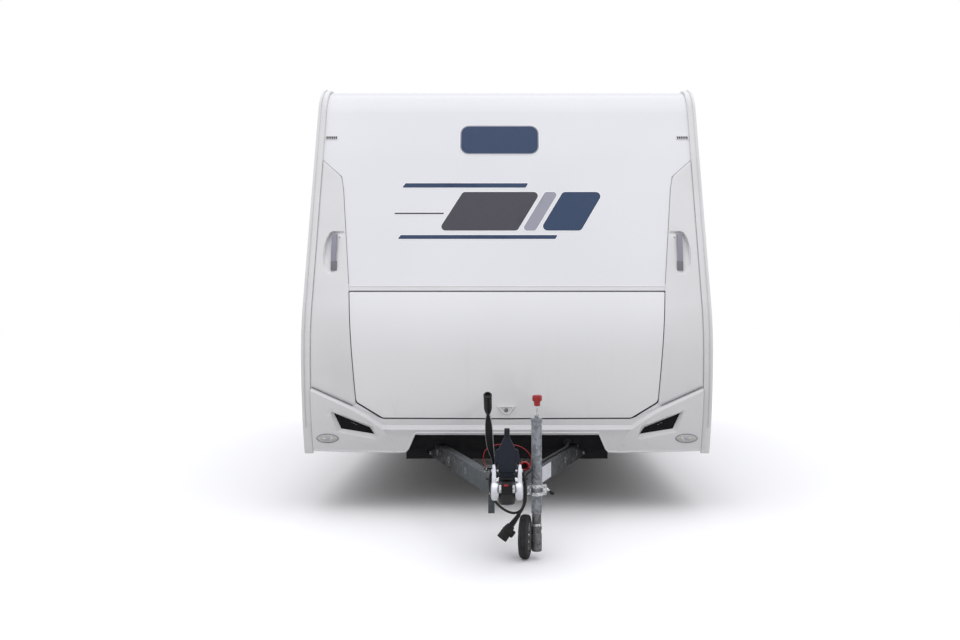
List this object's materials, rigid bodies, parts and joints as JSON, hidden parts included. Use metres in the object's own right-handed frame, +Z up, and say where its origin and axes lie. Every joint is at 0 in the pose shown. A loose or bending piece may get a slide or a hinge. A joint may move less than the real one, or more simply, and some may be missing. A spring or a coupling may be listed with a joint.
{
  "type": "single-axle travel caravan",
  "caption": "Boxy single-axle travel caravan with a sloping front and gear locker, A-frame drawbar, stabiliser coupling and jockey wheel, empty and parked.",
  "frame": {"origin": "on the ground under the middle of the whole outline", "axes": "+Z up, -Y towards the coupling, +X towards the caravan's left side"},
  "size_m": [2.3, 6.336, 2.58],
  "materials": {
    "gelcoat": "gloss",
    "trim_white": "satin",
    "black_plastic": "textured",
    "grey_plastic": "satin",
    "slate_plastic": "satin",
    "red_plastic": "satin",
    "tinted_pane": "clear",
    "lamp_lens": "clear",
    "red_lens": "clear",
    "galvanised": "matt",
    "cast_silver": "satin",
    "alloy": "satin",
    "black_steel": "satin",
    "aluminium_rail": "satin",
    "tyre_rubber": "matt",
    "soft_rubber": "matt",
    "sandwich_floor": "matt",
    "board": "satin",
    "upholstery": "woven"
  },
  "bodies": {
    "body": {"floor_panel": "sandwich_floor", "left_wall": "gelcoat", "right_wall": "gelcoat", "front_wall": "gelcoat", "front_board": "black_plastic", "roof_panel": "gelcoat", "rear_wall": "gelcoat", "edge_rails": "aluminium_rail", "corner_mouldings": "trim_white", "front_trims": "trim_white", "grab_handles": "grey_plastic", "front_bumper": "trim_white", "bumper_inserts": "black_plastic", "front_lamps": "lamp_lens", "locker_tub": "black_plastic", "side_skirts": "trim_white", "wheel_housings": "black_plastic", "windows": "tinted_pane", "door_frame": "aluminium_rail", "rooflights": "tinted_pane", "rear_bumper": "trim_white", "rear_lamps": "red_lens", "chassis_frame": "galvanised", "drawbar_beams": "galvanised", "axle": "galvanised", "overrun_housing": "black_steel", "jockey_tube": "galvanised", "jockey_crank": "galvanised", "crank_knob": "red_plastic", "jockey_clamp": "galvanised", "furniture": "board", "cushions": "upholstery", "dinette_table": "board", "cable_gland": "black_plastic", "plug_cable": "soft_rubber", "trailer_plug": "black_plastic", "breakaway_cable": "red_plastic", "breakaway_ring": "red_plastic", "bellows": "soft_rubber"},
    "door": {"entrance_door": "gelcoat", "door_window": "tinted_pane"},
    "lid": {"locker_lid": "gelcoat"},
    "hatch": {"service_hatch": "gelcoat"},
    "left_wheel": {"left_tyre": "tyre_rubber", "left_rim": "alloy"},
    "right_wheel": {"right_tyre": "tyre_rubber", "right_rim": "alloy"},
    "coupling": {"coupling_head": "cast_silver"},
    "stabiliser": {"stabiliser_handle": "slate_plastic"},
    "handbrake": {"handbrake_lever": "black_plastic"},
    "jockey_slider": {"jockey_leg": "galvanised"},
    "jockey_caster": {"jockey_fork": "galvanised"},
    "jockey_roller": {"jockey_wheel": "tyre_rubber"},
    "steady_fl": {"front_left_steady": "galvanised"},
    "steady_fr": {"front_right_steady": "galvanised"},
    "steady_rl": {"rear_left_steady": "galvanised"},
    "steady_rr": {"rear_right_steady": "galvanised"}
  },
  "joints": [
    {"name": "left_wheel_spin", "type": "hinge", "parent": "body", "child": "left_wheel", "pos_m": [1, 0.97, 0.318], "axis": [1, 0, 0], "continuous": true},
    {"name": "right_wheel_spin", "type": "hinge", "parent": "body", "child": "right_wheel", "pos_m": [-1, 0.97, 0.318], "axis": [1, 0, 0], "continuous": true},
    {"name": "door_swing", "type": "hinge", "parent": "body", "child": "door", "pos_m": [-1.1445, -0.06, 1.35], "axis": [0, 0, 1], "range_deg": [0, 165]},
    {"name": "lid_swing", "type": "hinge", "parent": "body", "child": "lid", "pos_m": [0, -1.7444, 1.25], "axis": [-1, 0, 0], "range_deg": [0, 80]},
    {"name": "hatch_swing", "type": "hinge", "parent": "body", "child": "hatch", "pos_m": [1.1445, 2.715, 0.48], "axis": [0, 1, 0], "range_deg": [0, 110]},
    {"name": "overrun_slide", "type": "slide", "parent": "body", "child": "coupling", "axis": [0, 1, 0], "range_m": [0, 0.07], "stiffness_N_per_m": 4000, "springref_m": -0.05, "deforming": ["bellows"]},
    {"name": "stabiliser_swing", "type": "hinge", "parent": "coupling", "child": "stabiliser", "pos_m": [0, -3.06, 0.454], "axis": [-1, 0, 0], "range_deg": [0, 65]},
    {"name": "handbrake_swing", "type": "hinge", "parent": "body", "child": "handbrake", "pos_m": [-0.062, -2.66, 0.402], "axis": [-1, 0, 0], "range_deg": [-15, 50]},
    {"name": "jockey_wind", "type": "slide", "parent": "body", "child": "jockey_slider", "axis": [0, 0, 1], "range_m": [-0.2, 0.045]},
    {"name": "jockey_swivel", "type": "hinge", "parent": "jockey_slider", "child": "jockey_caster", "pos_m": [0.136, -2.76, 0.1], "axis": [0, 0, 1], "continuous": true},
    {"name": "jockey_roll", "type": "hinge", "parent": "jockey_caster", "child": "jockey_roller", "pos_m": [0.08352, -2.75262, 0.1], "axis": [0.9903, -0.1392, 0], "continuous": true},
    {"name": "steady_fl_swing", "type": "hinge", "parent": "body", "child": "steady_fl", "pos_m": [0.728, -1.17, 0.32], "axis": [-1, 0, 0], "range_deg": [0, 44]},
    {"name": "steady_fr_swing", "type": "hinge", "parent": "body", "child": "steady_fr", "pos_m": [-0.728, -1.17, 0.32], "axis": [-1, 0, 0], "range_deg": [0, 44]},
    {"name": "steady_rl_swing", "type": "hinge", "parent": "body", "child": "steady_rl", "pos_m": [0.728, 2.61, 0.32], "axis": [1, 0, 0], "range_deg": [0, 44]},
    {"name": "steady_rr_swing", "type": "hinge", "parent": "body", "child": "steady_rr", "pos_m": [-0.728, 2.61, 0.32], "axis": [1, 0, 0], "range_deg": [0, 44]}
  ]
}
